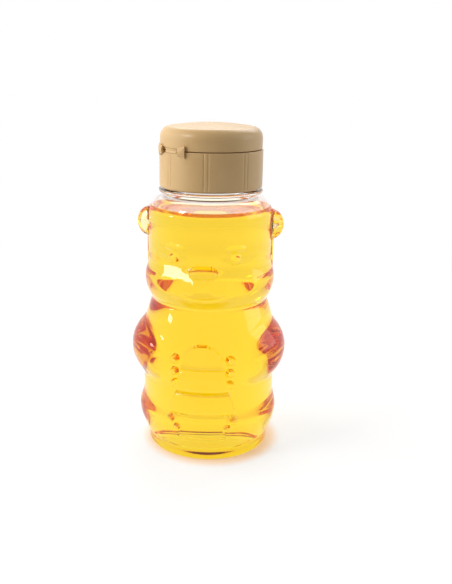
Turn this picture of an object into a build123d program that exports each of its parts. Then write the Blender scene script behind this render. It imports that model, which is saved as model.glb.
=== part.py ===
"""A squeeze bottle of honey in the form of a sitting bear, with a flip-top screw cap.

The bear faces -Y and stands on Z = 0. All sizes are in millimetres. The bottle is one blown
shell with a threaded neck, and the honey fills it up to the shoulder. The cap screws down on
a foam liner ring, and its domed lid hangs on a moulded hinge at the bear's front right.
"""
import math
import os

from build123d import *

# The shell and what fills it
wall = 0.55
honey_gap = 0.1
honey_level = 99.4

# The body's core, as radii at heights from the ground up
base_recess = 1.8
base_ring_radius = 25.2
base_ring_width = 2.7
base_corner_radius = 2.0
base_ring_top = 4.4
leg_band_bottom_radius = 26.4
leg_band_bottom = 5.6
leg_band_radius = 28.2
leg_band_height = 13.0
leg_band_top = 21.0
waist_radius = 27.4
waist_top = 30.2
chest_radius = 28.0
chest_height = 42.0
crease_radius = 23.6
crease_height = 61.7
cheek_radius = 26.45
cheek_height = 73.0
temple_radius = 24.9
temple_height = 84.0
crown_radius = 24.7
crown_corner_radius = 7.0

# Rounded forms of the body. Each has a turn round Z from the front, a reach from the axis and
# a height for its centre, then its half sizes outwards, sideways and upwards.
ear_turn, ear_reach, ear_height = 88.0, 24.2, 93.8
ear_half_out, ear_half_side, ear_half_up = 5.8, 4.8, 6.6
shoulder_turn, shoulder_reach, shoulder_height = 78.0, 12.0, 42.5
shoulder_half_out, shoulder_half_side, shoulder_half_up = 20.2, 22.0, 17.0
back_reach, back_height = 9.4, 41.0
back_half_out, back_half_side, back_half_up = 20.6, 22.0, 19.0
paw_turn, paw_reach, paw_height = 47.0, 16.0, 38.8
paw_half_out, paw_half_side, paw_half_up = 13.9, 13.2, 11.2
thigh_turn, thigh_reach, thigh_height = 66.0, 12.0, 13.0
thigh_half_out, thigh_half_side, thigh_half_up = 17.4, 20.0, 11.4
foot_turn, foot_reach, foot_height = 32.0, 19.0, 12.8
foot_half_out, foot_half_side, foot_half_up = 9.7, 7.4, 8.4
muzzle_reach, muzzle_height = 18.0, 73.2
muzzle_half_out, muzzle_half_side, muzzle_half_up = 11.6, 13.6, 8.4
nose_reach, nose_height = 27.4, 79.0
nose_half_out, nose_half_side, nose_half_up = 2.6, 5.3, 2.1
brow_turn, brow_reach, brow_height = 28.5, 24.6, 87.4
brow_half_out, brow_half_side, brow_half_up = 1.4, 4.2, 1.1
eye_turn, eye_reach, eye_height, eye_radius = 28.5, 24.4, 83.2, 2.1

# The thin web in the shell's side that runs down from each ear to the cheek
ear_web_radius = 25.7
ear_web_thickness = 1.1
ear_web_bottom = 75.5
ear_web_top = 89.0

# The claws in a row on each paw and the toes on each foot
claw_turn, claw_reach, claw_bottom = 22.6, 28.2, 34.0
claw_radius, claw_spacing, claw_count = 1.35, 5.0, 3
toe_turn, toe_reach, toe_bottom = 21.4, 28.1, 14.8
toe_radius, toe_spacing, toe_count, toe_turn_step = 1.3, 3.2, 2, 5.4

# The straw hive on the belly, with its coils, and the step below it
coil_heights = (20.6, 30.2, 39.5, 50.4)
coil_radius = 28.3
coil_bulge = 1.0
hive_half_width_bottom = 13.6
hive_half_width_middle = 11.0
hive_half_width_top = 8.0
hive_spring_height = 42.0
hive_corner_radius = 3.0
step_half_width = 10.0
step_bottom = 9.9
step_radius = 28.5

# The neck, with the usual finish for a 38 mm cap
finish_radius = 17.55
finish_wall = 1.65
neck_step = 0.75
bead_reach = 3.15
bead_bottom = 106.1
bead_thickness = 1.2
bead_edge_radius = 0.45
finish_height = 10.9
mouth_edge_radius = 0.4
thread_pitch = 4.233
thread_turns = 1.1
thread_height = 1.15
thread_root_width = 2.1
thread_crest_width = 0.9
thread_rise = 2.3
thread_start_turn = 0.1

# The screw cap, with its deck, spout and inner thread
cap_gap = 0.5
cap_thread_clearance = 0.25
cap_wall = 1.45
cap_skirt_height = 14.9
cap_edge_radius = 0.3
deck_thickness = 1.5
cap_thread_height = 0.95
cap_thread_turns = 1.0
cap_thread_start_turn = 0.42
collar_clearance = 0.4
collar_wall = 1.1
collar_rise = 1.7
spout_radius = 5.6
spout_top_radius = 4.6
spout_rise = 1.2
orifice_radius = 3.175
groove_radius = 0.4
groove_depth = 0.16
groove_half_turn = 2.3
groove_pairs = 8

# The liner ring
liner_thickness = 1.0
liner_clearance = 0.35
liner_overhang = 0.3

# The lid, with the plug that closes the spout and a lip for the thumb
seam_gap = 0.3
lid_step = 0.3
lid_height = 9.7
lid_wall = 1.5
lid_shoulder_radius = 4.2
lid_dome_rise = 1.3
plug_clearance = 0.07
plug_wall = 0.9
plug_depth = 1.4
plug_tip_radius = 0.3
lip_half_turn = 16.0
lip_reach = 1.3
lip_thickness = 1.4

# The hinge: a thin web across the seam in a pocket, and a strap on either side of it
hinge_turn = -45.0
pocket_half_turn = 12.6
pocket_depth = 0.8
pocket_half_height = 0.95
web_half_turn = 9.3
web_thickness = 0.55
web_clearance = 0.08
strap_inner_turn = 12.9
strap_outer_turn = 22.0
strap_inner_half_height = 1.4
strap_outer_half_height = 2.35
strap_thickness = 0.75
strap_clearance = 0.06

# How far a cut runs past what it cuts, and how far a ridge sinks into what carries it
overrun = 2.0
embed = 0.4

# Heights and radii that follow
base_recess_radius = base_ring_radius - base_corner_radius - base_ring_width
bore_radius = finish_radius - finish_wall
neck_radius = finish_radius + neck_step
bead_radius = finish_radius + bead_reach
cap_bore_radius = finish_radius + thread_height + cap_thread_clearance
cap_radius = cap_bore_radius + cap_wall
lid_radius = cap_radius - lid_step
liner_bore_radius = bore_radius - liner_overhang
crown_top = bead_bottom - bead_thickness
crown_corner_height = crown_top - crown_corner_radius
bead_top = bead_bottom + bead_thickness
mouth_height = bead_top + finish_height
cap_bottom = bead_top + cap_gap
seam_height = cap_bottom + cap_skirt_height
deck_bottom = mouth_height + liner_thickness
deck_top = deck_bottom + deck_thickness
lid_bottom = seam_height + seam_gap
lid_top = lid_bottom + lid_height
lid_shoulder_height = lid_top - lid_dome_rise - lid_shoulder_radius
lid_ceiling = lid_top - lid_dome_rise - lid_wall
collar_radius = lid_radius - lid_wall - collar_clearance
spout_top = seam_height + spout_rise
plug_radius = orifice_radius - plug_clearance
hinge_height = seam_height + seam_gap / 2
thread_start = bead_top + thread_rise


def rounded_form(turn, reach, height, half_sizes, inset=0.0):
    """An ellipsoid at a turn round Z from the front, drawn in by the inset."""
    half_out, half_side, half_up = half_sizes
    with BuildPart() as form:
        Sphere(1)
        scale(by=(half_side - inset, half_out - inset, half_up - inset))
    return Rot(Z=turn) * Pos(0, -reach, height) * form.part


def on_both_sides(turn, reach, height, half_sizes, inset=0.0):
    """A rounded form and its mirror image."""
    return [
        rounded_form(side * turn, reach, height, half_sizes, inset) for side in (-1, 1)
    ]


def core(inset):
    """The round body and head from the ground to the neck's foot, without limbs or face."""
    recess_radius = (base_recess_radius**2 + base_recess**2) / (2 * base_recess)
    with BuildPart() as form:
        with BuildSketch(Plane.XZ):
            with BuildLine():
                dish = RadiusArc(
                    (0, base_recess + inset), (base_recess_radius, inset), recess_radius
                )
                ring = Line(dish @ 1, (base_ring_radius - base_corner_radius, inset))
                corner = RadiusArc(
                    ring @ 1, (base_ring_radius - inset, base_corner_radius),
                    inset - base_corner_radius,
                )
                rise = Line(corner @ 1, (base_ring_radius - inset, base_ring_top))
                flare = Line(rise @ 1, (leg_band_bottom_radius - inset, leg_band_bottom))
                legs = ThreePointArc(
                    flare @ 1, (leg_band_radius - inset, leg_band_height),
                    (waist_radius - inset, leg_band_top),
                )
                waist = Line(legs @ 1, (waist_radius - inset, waist_top))
                chest = ThreePointArc(
                    waist @ 1, (chest_radius - inset, chest_height),
                    (crease_radius - inset, crease_height),
                )
                cheeks = ThreePointArc(
                    chest @ 1, (cheek_radius - inset, cheek_height),
                    (temple_radius - inset, temple_height),
                )
                temples = Line(cheeks @ 1, (crown_radius - inset, crown_corner_height))
                crown = RadiusArc(
                    temples @ 1, (crown_radius - crown_corner_radius, crown_top - inset),
                    inset - crown_corner_radius,
                )
                Polyline(crown @ 1, (0, crown_top - inset), dish @ 0)
            make_face()
        revolve(axis=Axis.Z)
    return form.part


def hive(inset):
    """Coils of straw that bulge from the belly, cut to the arched outline of a hive."""
    side = coil_radius - inset
    with BuildPart() as coils:
        with BuildSketch(Plane.XZ):
            with BuildLine():
                for bottom, top in zip(coil_heights, coil_heights[1:]):
                    ThreePointArc(
                        (side, bottom), (side + coil_bulge, (bottom + top) / 2), (side, top)
                    )
                Polyline(
                    (side, coil_heights[-1]), (0, coil_heights[-1]), (0, coil_heights[0]),
                    (side, coil_heights[0]),
                )
            make_face()
        revolve(axis=Axis.Z)
        with BuildSketch(Plane.XZ):
            with BuildLine():
                foot = Line(
                    (inset - hive_half_width_bottom, coil_heights[0] + inset),
                    (hive_half_width_bottom - inset, coil_heights[0] + inset),
                )
                right = Spline(
                    foot @ 1, (hive_half_width_middle - inset, coil_heights[1]),
                    (hive_half_width_top - inset, hive_spring_height),
                    tangents=((0, 1), (0, 1)),
                )
                arch = ThreePointArc(
                    right @ 1, (0, coil_heights[-1] - inset),
                    (inset - hive_half_width_top, hive_spring_height),
                )
                Spline(
                    arch @ 1, (inset - hive_half_width_middle, coil_heights[1]), foot @ 0,
                    tangents=((0, -1), (0, -1)),
                )
            outline = make_face()
            fillet(outline.vertices().group_by(Axis.Y)[0], hive_corner_radius - inset)
        extrude(amount=coil_radius + coil_bulge + overrun, mode=Mode.INTERSECT)
    return coils.part


def hive_step(inset):
    """The low step under the hive, between the bear's feet."""
    with BuildPart() as step:
        with BuildSketch(Plane.XY.offset(step_bottom + inset)):
            Circle(step_radius - inset)
        extrude(amount=coil_heights[0] - step_bottom)
        with BuildSketch(Plane.XZ):
            with Locations((0, coil_heights[0])):
                Rectangle(2 * (step_half_width - inset), 2 * coil_heights[0])
        extrude(amount=step_radius + overrun, mode=Mode.INTERSECT)
    return step.part


def bear(inset):
    """The whole bear below its neck, drawn in by the inset on every side."""
    shoulder_sizes = (shoulder_half_out, shoulder_half_side, shoulder_half_up)
    muzzle_sizes = (muzzle_half_out, muzzle_half_side, muzzle_half_up)
    ear_sizes = (ear_half_out, ear_half_side, ear_half_up)
    thigh_sizes = (thigh_half_out, thigh_half_side, thigh_half_up)
    paw_sizes = (paw_half_out, paw_half_side, paw_half_up)
    foot_sizes = (foot_half_out, foot_half_side, foot_half_up)
    back_sizes = (back_half_out, back_half_side, back_half_up)
    forms = [
        hive(inset),
        hive_step(inset),
        rounded_form(0, muzzle_reach, muzzle_height, muzzle_sizes, inset),
        rounded_form(180, back_reach, back_height, back_sizes, inset),
        *on_both_sides(ear_turn, ear_reach, ear_height, ear_sizes, inset),
        *on_both_sides(shoulder_turn, shoulder_reach, shoulder_height, shoulder_sizes, inset),
        *on_both_sides(paw_turn, paw_reach, paw_height, paw_sizes, inset),
        *on_both_sides(thigh_turn, thigh_reach, thigh_height, thigh_sizes, inset),
        *on_both_sides(foot_turn, foot_reach, foot_height, foot_sizes, inset),
    ]
    body = core(inset)
    with BuildPart() as form:
        add(body)
        add(forms)
    return form.part


def ear_webs():
    """A slab across the head, of which the shell's outside keeps the web below each ear."""
    with BuildPart() as slab:
        with BuildSketch(Plane.XZ):
            with Locations((0, (ear_web_bottom + ear_web_top) / 2)):
                Rectangle(2 * ear_web_radius, ear_web_top - ear_web_bottom)
        extrude(amount=ear_web_thickness / 2, both=True)
    return slab.part


def small_features():
    """Nose, brows, eyes, claws, toes and ear webs, which are on the shell's outside alone."""
    nose_sizes = (nose_half_out, nose_half_side, nose_half_up)
    brow_sizes = (brow_half_out, brow_half_side, brow_half_up)
    features = [ear_webs(), rounded_form(0, nose_reach, nose_height, nose_sizes)]
    features += on_both_sides(brow_turn, brow_reach, brow_height, brow_sizes)
    features += on_both_sides(eye_turn, eye_reach, eye_height, (eye_radius,) * 3)
    for number in range(claw_count):
        height = claw_bottom + number * claw_spacing
        features += on_both_sides(claw_turn, claw_reach, height, (claw_radius,) * 3)
    for number in range(toe_count):
        turn = toe_turn + number * toe_turn_step
        height = toe_bottom + number * toe_spacing
        features += on_both_sides(turn, toe_reach, height, (toe_radius,) * 3)
    return features


def thread_ridge(root_radius, height, start_turn, turns):
    """A ridge wound up round Z, standing outwards from its root, or inwards below zero."""
    sink = -embed if height > 0 else embed
    with BuildPart() as ridge:
        with BuildLine() as path:
            Helix(thread_pitch, thread_pitch * turns, root_radius)
        spine = path.line
        across = Plane(origin=spine @ 0, x_dir=(1, 0, 0), z_dir=spine % 0)
        with BuildSketch(across):
            with BuildLine():
                Polyline(
                    (sink, -thread_root_width / 2), (0, -thread_root_width / 2),
                    (height, -thread_crest_width / 2), (height, thread_crest_width / 2),
                    (0, thread_root_width / 2), (sink, thread_root_width / 2),
                    close=True,
                )
            make_face()
        sweep(path=spine, is_frenet=True)
    return Pos(0, 0, start_turn * thread_pitch) * Rot(Z=360 * start_turn) * ridge.part


def neck():
    """The neck above the crown, still solid, with its carrying bead and its thread."""
    ridge = Pos(0, 0, thread_start) * thread_ridge(
        finish_radius, thread_height, thread_start_turn, thread_turns
    )
    with BuildPart() as form:
        with BuildSketch(Plane.XZ):
            with BuildLine():
                Polyline(
                    (0, crown_top - wall), (neck_radius, crown_top - wall),
                    (neck_radius, bead_bottom), (bead_radius, bead_bottom),
                    (bead_radius, bead_top), (finish_radius, bead_top),
                    (finish_radius, mouth_height), (0, mouth_height),
                    close=True,
                )
            profile = make_face()
            fillet(profile.vertices().group_by(Axis.X)[-1], bead_edge_radius)
        revolve(axis=Axis.Z)
        fillet(form.edges().sort_by(Axis.Z)[-1], mouth_edge_radius)
        add(ridge)
    return form.part


def hinge_sector(inner_radius, outer_radius, half_turn, bottom, top, middle_turn):
    """A ring section between two radii and heights, over a turn to either side of its middle."""
    with BuildPart() as sector:
        with BuildSketch(Plane.XZ):
            with BuildLine():
                Polyline(
                    (inner_radius, bottom), (outer_radius, bottom), (outer_radius, top),
                    (inner_radius, top), close=True,
                )
            make_face()
        revolve(axis=Axis.Z, revolution_arc=2 * half_turn)
    return Rot(Z=middle_turn - 90 - half_turn) * sector.part


def hinge_pocket():
    """What the cap and the lid leave free for the web at the seam."""
    return hinge_sector(
        cap_radius - pocket_depth, cap_radius + overrun, pocket_half_turn,
        hinge_height - pocket_half_height, hinge_height + pocket_half_height, hinge_turn,
    )


def hinge_strap(side):
    """One bowed strap beside the web, taller at its outer end, on the side given as -1 or 1."""
    turn = math.radians(hinge_turn)
    outwards = Plane(
        origin=(0, 0, hinge_height), x_dir=(math.cos(turn), math.sin(turn), 0),
        z_dir=(math.sin(turn), -math.cos(turn), 0),
    )
    inner_radius = cap_radius + strap_clearance
    outer_radius = inner_radius + strap_thickness
    inner_edge = side * inner_radius * math.sin(math.radians(strap_inner_turn))
    outer_edge = side * inner_radius * math.sin(math.radians(strap_outer_turn))
    with BuildPart() as strap:
        with BuildSketch(Plane.XY.offset(hinge_height - strap_outer_half_height)):
            Circle(outer_radius)
            Circle(inner_radius, mode=Mode.SUBTRACT)
        extrude(amount=2 * strap_outer_half_height)
        with BuildSketch(outwards):
            with BuildLine():
                Polyline(
                    (inner_edge, -strap_inner_half_height), (outer_edge, -strap_outer_half_height),
                    (outer_edge, strap_outer_half_height), (inner_edge, strap_inner_half_height),
                    close=True,
                )
            make_face()
        extrude(amount=outer_radius + overrun, mode=Mode.INTERSECT)
    return strap.part


# The bottle: the blown bear with its small features, and the neck bored through to the mouth
outside, inside = bear(0), bear(wall)
features, neck_solid = small_features(), neck()
with BuildPart() as bottle:
    add(outside)
    add(features)
    add(inside, mode=Mode.SUBTRACT)
    add(neck_solid)
    with BuildSketch(Plane.XY.offset(crown_top - wall - overrun)):
        Circle(bore_radius)
    extrude(amount=mouth_height - crown_top + wall + 2 * overrun, mode=Mode.SUBTRACT)
bottle.part.label = "bottle"

# The honey: the shell's inside with a hair of room, cut level
fill = bear(wall + honey_gap)
with BuildPart() as honey:
    add(fill)
    split(bisect_by=Plane.XY.offset(honey_level), keep=Keep.BOTTOM)
honey.part.label = "honey"

# The liner ring, a washer of foam between the cap's deck and the bottle's mouth
with BuildPart() as liner_ring:
    with BuildSketch(Plane.XY.offset(mouth_height)):
        Circle(cap_bore_radius - liner_clearance)
        Circle(liner_bore_radius, mode=Mode.SUBTRACT)
    extrude(amount=liner_thickness)
liner_ring.part.label = "liner_ring"

# The cap's base: grooved skirt, deck with its collar and pouring spout, thread and pocket
pocket = hinge_pocket()
cap_thread = Pos(0, 0, thread_start - thread_pitch / 2) * thread_ridge(
    cap_bore_radius, -cap_thread_height, cap_thread_start_turn, cap_thread_turns
)
with BuildPart() as cap_base:
    with BuildSketch(Plane.XY.offset(cap_bottom)):
        Circle(cap_radius)
    extrude(amount=cap_skirt_height)
    fillet(cap_base.edges().filter_by(GeomType.CIRCLE), cap_edge_radius)
    with BuildSketch(Plane.XY.offset(cap_bottom)):
        Circle(cap_bore_radius)
    extrude(amount=deck_bottom - cap_bottom, mode=Mode.SUBTRACT)
    with BuildSketch(Plane.XY.offset(deck_top)):
        Circle(cap_bore_radius)
    extrude(amount=cap_skirt_height, mode=Mode.SUBTRACT)
    with BuildSketch(Plane.XY.offset(deck_top)):
        Circle(collar_radius)
        Circle(collar_radius - collar_wall, mode=Mode.SUBTRACT)
    extrude(amount=seam_height + collar_rise - deck_top)
    with BuildSketch(Plane.XZ):
        with BuildLine():
            Polyline(
                (0, deck_top), (spout_radius, deck_top), (spout_top_radius, spout_top),
                (0, spout_top), close=True,
            )
        make_face()
    revolve(axis=Axis.Z)
    with BuildSketch(Plane.XY.offset(deck_bottom)):
        Circle(orifice_radius)
    extrude(amount=spout_top - deck_bottom, mode=Mode.SUBTRACT)
    with BuildSketch(Plane.XY.offset(cap_bottom)):
        for side in (-1, 1):
            with PolarLocations(
                cap_radius + groove_radius - groove_depth, groove_pairs,
                start_angle=hinge_turn - 90 + side * groove_half_turn,
            ):
                Circle(groove_radius)
    extrude(amount=cap_skirt_height, mode=Mode.SUBTRACT)
    add(pocket, mode=Mode.SUBTRACT)
    add(cap_thread)
cap_base.part.label = "cap_base"

# The lid: a hollow dome with the spout's plug inside it and the thumb lip behind
thumb_lip = hinge_sector(
    lid_radius - embed, lid_radius + lip_reach, lip_half_turn, lid_bottom,
    lid_bottom + lip_thickness, hinge_turn + 180,
)
dome_base_radius = lid_radius - lid_shoulder_radius
dome_radius = (dome_base_radius**2 + lid_dome_rise**2) / (2 * lid_dome_rise)
with BuildPart() as flip_lid:
    with BuildSketch(Plane.XZ):
        with BuildLine():
            lid_side = Line((lid_radius, lid_bottom), (lid_radius, lid_shoulder_height))
            shoulder = RadiusArc(
                lid_side @ 1, (dome_base_radius, lid_top - lid_dome_rise), -lid_shoulder_radius
            )
            dome = RadiusArc(shoulder @ 1, (0, lid_top), -dome_radius)
            Polyline(dome @ 1, (0, lid_bottom), lid_side @ 0)
        make_face()
    revolve(axis=Axis.Z)
    add(thumb_lip)
    with BuildSketch(Plane.XZ):
        with BuildLine():
            Polyline(
                (0, lid_bottom), (lid_radius - lid_wall, lid_bottom),
                (lid_radius - lid_wall, lid_ceiling), (0, lid_ceiling), close=True,
            )
        hollow = make_face()
        fillet(
            hollow.vertices().group_by(Axis.X)[-1].sort_by(Axis.Y)[-1],
            lid_shoulder_radius - lid_wall,
        )
    revolve(axis=Axis.Z, mode=Mode.SUBTRACT)
    with BuildSketch(Plane.XY.offset(spout_top - plug_depth)):
        Circle(plug_radius)
        Circle(plug_radius - plug_wall, mode=Mode.SUBTRACT)
    extrude(amount=lid_ceiling + embed - spout_top + plug_depth)
    fillet(
        flip_lid.edges().filter_by(GeomType.CIRCLE).sort_by(Axis.Z)[:2].sort_by(SortBy.RADIUS)[-1],
        plug_tip_radius,
    )
    add(pocket, mode=Mode.SUBTRACT)
flip_lid.part.label = "flip_lid"

# The hinge's web, a thin strip that lies in the pocket across the seam
web_half_height = pocket_half_height - web_clearance
web_inner_radius = cap_radius - pocket_depth + web_clearance
web_solid = hinge_sector(
    web_inner_radius, web_inner_radius + web_thickness, web_half_turn,
    hinge_height - web_half_height, hinge_height + web_half_height, hinge_turn,
)
with BuildPart() as hinge_web:
    add(web_solid)
hinge_web.part.label = "hinge_web"

# The hinge's straps, on the left and the right of the web as seen from outside
straps = hinge_strap(-1), hinge_strap(1)
with BuildPart() as hinge_strap_left:
    add(straps[0])
hinge_strap_left.part.label = "hinge_strap_left"

with BuildPart() as hinge_strap_right:
    add(straps[1])
hinge_strap_right.part.label = "hinge_strap_right"

# Write each piece
os.makedirs("parts", exist_ok=True)
export_step(bottle.part, "parts/bottle.step")
export_step(honey.part, "parts/honey.step")
export_step(liner_ring.part, "parts/liner_ring.step")
export_step(cap_base.part, "parts/cap_base.step")
export_step(flip_lid.part, "parts/flip_lid.step")
export_step(hinge_web.part, "parts/hinge_web.step")
export_step(hinge_strap_left.part, "parts/hinge_strap_left.step")
export_step(hinge_strap_right.part, "parts/hinge_strap_right.step")
for piece in (
    bottle, honey, liner_ring, cap_base, flip_lid, hinge_web, hinge_strap_left, hinge_strap_right
):
    print(piece.part.label, round(piece.part.volume), "mm3 in", len(piece.part.solids()), "solid")
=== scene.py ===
import math

import bpy
import numpy as np
from mathutils import Euler, Matrix


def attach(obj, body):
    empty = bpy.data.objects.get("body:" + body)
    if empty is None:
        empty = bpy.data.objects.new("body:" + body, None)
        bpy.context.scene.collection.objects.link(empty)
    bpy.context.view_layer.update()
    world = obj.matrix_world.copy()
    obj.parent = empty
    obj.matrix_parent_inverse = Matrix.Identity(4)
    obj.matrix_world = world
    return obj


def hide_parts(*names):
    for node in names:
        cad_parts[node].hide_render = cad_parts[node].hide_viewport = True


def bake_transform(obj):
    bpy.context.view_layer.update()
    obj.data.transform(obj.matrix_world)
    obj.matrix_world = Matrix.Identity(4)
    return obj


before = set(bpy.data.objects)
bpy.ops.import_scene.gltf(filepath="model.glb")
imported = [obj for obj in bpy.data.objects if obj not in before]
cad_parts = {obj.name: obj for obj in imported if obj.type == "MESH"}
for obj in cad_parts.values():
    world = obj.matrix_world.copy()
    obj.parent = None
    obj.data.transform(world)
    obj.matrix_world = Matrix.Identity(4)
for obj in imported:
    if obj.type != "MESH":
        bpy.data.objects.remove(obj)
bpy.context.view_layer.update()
mm = 0.001  # sizes below are in millimetres and degrees, meshes in metres


def smoothStep(low, high, value):
    # 0 below low, 1 above high, and 3 s^2 - 2 s^3 between them, where s is the share of the way
    share = np.clip((value - low) / (high - low), 0, 1)
    return share * share * (3 - 2 * share)


def softMax(first, second, blend):
    # the larger of the two, plus (blend - gap)^2 / (4 blend) where their gap is under the blend
    gap = np.abs(first - second)
    return np.maximum(first, second) + np.maximum(blend - gap, 0) ** 2 / (4 * blend)


def facesFront(turns):
    # true on the half that faces the bear's front
    return np.cos(np.radians(turns)) > 0


def angularSamples(count, spots, fineCount=7201):
    # turns round Z that crowd together near each spot: equal steps of the running sum of
    # 1 + sum of gain * exp(-((turn - centre) / width)^2)
    fine = np.linspace(-180, 180, fineCount)
    crowding = np.ones_like(fine)
    for centre, width, gain in spots:
        away = (fine - centre + 180) % 360 - 180
        crowding += gain * np.exp(-((away / width) ** 2))
    running = np.concatenate(([0], np.cumsum((crowding[1:] + crowding[:-1]) / 2)))
    return np.interp(np.arange(count) / count * running[-1], running, fine)


def turnedPoints(turns, radii, heights):
    # x = r sin(turn), y = -r cos(turn), z = height, with the turn counted from the bear's front
    angle = np.radians(turns)
    radii, heights = np.broadcast_arrays(radii, heights)
    return np.stack((radii * np.sin(angle), -radii * np.cos(angle), heights), axis=-1)


def arcRows(centre, radius, startAngle, endAngle, count):
    # rows (r, z) along a circle's arc: centre + radius (cos a, sin a) for count steps of a
    angles = np.radians(np.linspace(startAngle, endAngle, count))
    return np.stack(
        (centre[0] + radius * np.cos(angles), centre[1] + radius * np.sin(angles)), axis=1
    )


def lineRows(corners, counts):
    # rows (r, z) along straight runs from corner to corner, each run in its count of even
    # steps, leaving the last corner itself to what follows
    runs = zip(corners, corners[1:], counts)
    return np.vstack([np.linspace(*run, endpoint=False) for run in runs])


def carriedRound(rows, turns):
    # a profile's radii and its heights, each repeated for every turn
    return np.repeat(rows.T[..., None], len(turns), axis=2)


def newPiece(name, places, faces, material, sharp):
    # a smooth mesh at the origin, creased where two faces meet at more than the sharp angle
    mesh = bpy.data.meshes.new(name)
    mesh.from_pydata((places * mm).tolist(), [], faces)
    mesh.shade_smooth()
    mesh.set_sharp_from_angle(angle=math.radians(sharp))
    mesh.materials.append(material)
    piece = bpy.data.objects.new(name, mesh)
    bpy.context.collection.objects.link(piece)
    return piece


def gridMesh(name, points, material, sharp, poles=(None, None), closeRows=False):
    # a skin over a grid of points whose columns run round Z: each cell is one face, the last
    # column joins the first, and a pole or the first row closes either end
    rows, columns = points.shape[:2]
    index = np.arange(rows * columns).reshape(rows, columns)
    if closeRows:
        index = np.vstack((index, index[:1]))
    right = np.roll(index, -1, axis=1)
    cells = np.stack((index[:-1], right[:-1], right[1:], index[1:]), axis=-1)
    faces = cells.reshape(-1, 4).tolist()
    places = points.reshape(-1, 3)
    for pole, row, flip in ((poles[0], 0, False), (poles[1], -1, True)):
        if pole is not None:
            tip = len(places)
            places = np.vstack((places, [pole]))
            ring, following = index[row], right[row]
            fan = (ring, following) if flip else (following, ring)
            faces += np.stack((fan[0], fan[1], np.full(columns, tip)), axis=1).tolist()
    return newPiece(name, places, faces, material, sharp)


def slabMesh(name, outer, inner, material, sharp):
    # a closed slab between two open grids of points with matching rows and columns: the outer
    # skin, the inner skin turned over, and a wall of one cell along their four edges
    rows, columns = outer.shape[:2]
    front = np.arange(rows * columns).reshape(rows, columns)
    back = front + rows * columns

    def cells(grid):
        return np.stack(
            (grid[:-1, :-1], grid[:-1, 1:], grid[1:, 1:], grid[1:, :-1]), axis=-1
        ).reshape(-1, 4)

    edges = (
        (back[0], front[0]), (front[-1], back[-1]),
        (front[:, 0], back[:, 0]), (back[:, -1], front[:, -1]),
    )
    faces = cells(front).tolist() + cells(back)[:, ::-1].tolist()
    for low, high in edges:
        faces += np.stack((low[:-1], low[1:], high[1:], high[:-1]), axis=1).tolist()
    places = np.vstack((outer.reshape(-1, 3), inner.reshape(-1, 3)))
    return newPiece(name, places, faces, material, sharp)


def newMaterial(name):
    # a material with its node tree and the shader that the tree starts with
    material = bpy.data.materials.new(name)
    material.use_nodes = True
    tree = material.node_tree
    return material, tree, tree.nodes["Principled BSDF"]


def noise(tree, scale, detail, stretch=(1, 1, 1)):
    # noise on Object coordinates, in metres, so a scale of 1000 has cells of a millimetre
    place = tree.nodes.new("ShaderNodeTexCoord")
    mapping = tree.nodes.new("ShaderNodeMapping")
    mapping.inputs["Scale"].default_value = stretch
    texture = tree.nodes.new("ShaderNodeTexNoise")
    texture.inputs["Scale"].default_value = scale
    texture.inputs["Detail"].default_value = detail
    tree.links.new(place.outputs["Object"], mapping.inputs["Vector"])
    tree.links.new(mapping.outputs["Vector"], texture.inputs["Vector"])
    return texture.outputs["Fac"]


def ramp(tree, source, places, levels):
    # a value turned into colours or grey levels, with one level at each place
    node = tree.nodes.new("ShaderNodeValToRGB")
    for stop, place, level in zip(node.color_ramp.elements, places, levels):
        stop.position = place
        stop.color = (*level, 1) if isinstance(level, tuple) else (level, level, level, 1)
    tree.links.new(source, node.inputs["Fac"])
    return node.outputs["Color"]


def bump(tree, source, strength, distance, before=None):
    # a relief from a value, up to distance high, laid over the relief before it
    node = tree.nodes.new("ShaderNodeBump")
    node.inputs["Strength"].default_value = strength
    node.inputs["Distance"].default_value = distance * mm
    tree.links.new(source, node.inputs["Height"])
    if before:
        tree.links.new(before, node.inputs["Normal"])
    return node.outputs["Normal"]


def makeClear(shader, look):
    # lets all light through, bent by the look's index of refraction
    shader.inputs["Base Color"].default_value = (1, 1, 1, 1)
    shader.inputs["Transmission Weight"].default_value = 1.0
    shader.inputs["IOR"].default_value = look["refraction"]
    shader.inputs["Roughness"].default_value = look["roughness"]


# in each look a noise is its scale and detail, and a bump its strength and height
capPlasticLook = {
    "paleTan": (0.63, 0.415, 0.185), "deepTan": (0.58, 0.37, 0.155),
    "roughness": (0.30, 0.40), "stops": (0.3, 0.7),
    "cloud": (90, 4), "gloss": (420, 3), "grain": (1400, 2), "sink": (70, 2),
    "sinkStretch": (1, 1, 0.35), "grainBump": (0.12, 0.05), "sinkBump": (0.25, 0.25),
    "scatter": 0.06, "scatterReach": (0.0012, 0.0008, 0.0005),
}


def capPlastic():
    # satin polypropylene: tan with slow cloudy variation, fine grain in gloss and surface, and
    # long shallow sinks down the walls
    look = capPlasticLook
    material, tree, shader = newMaterial("capPlastic")
    tans = look["deepTan"], look["paleTan"]
    cloud = ramp(tree, noise(tree, *look["cloud"]), look["stops"], tans)
    gloss = ramp(tree, noise(tree, *look["gloss"]), look["stops"], look["roughness"])
    tree.links.new(cloud, shader.inputs["Base Color"])
    tree.links.new(gloss, shader.inputs["Roughness"])
    grain = bump(tree, noise(tree, *look["grain"]), *look["grainBump"])
    sinks = noise(tree, *look["sink"], look["sinkStretch"])
    tree.links.new(bump(tree, sinks, *look["sinkBump"], grain), shader.inputs["Normal"])
    shader.inputs["Subsurface Weight"].default_value = look["scatter"]
    shader.inputs["Subsurface Radius"].default_value = look["scatterReach"]
    shader.inputs["Subsurface Scale"].default_value = 1.0
    return material


shellPlasticLook = {
    "refraction": 1.5, "roughness": 0.012,
    "wave": (55, 2), "waveBump": (0.2, 0.35), "peel": (420, 2), "peelBump": (0.05, 0.05),
}


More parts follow.
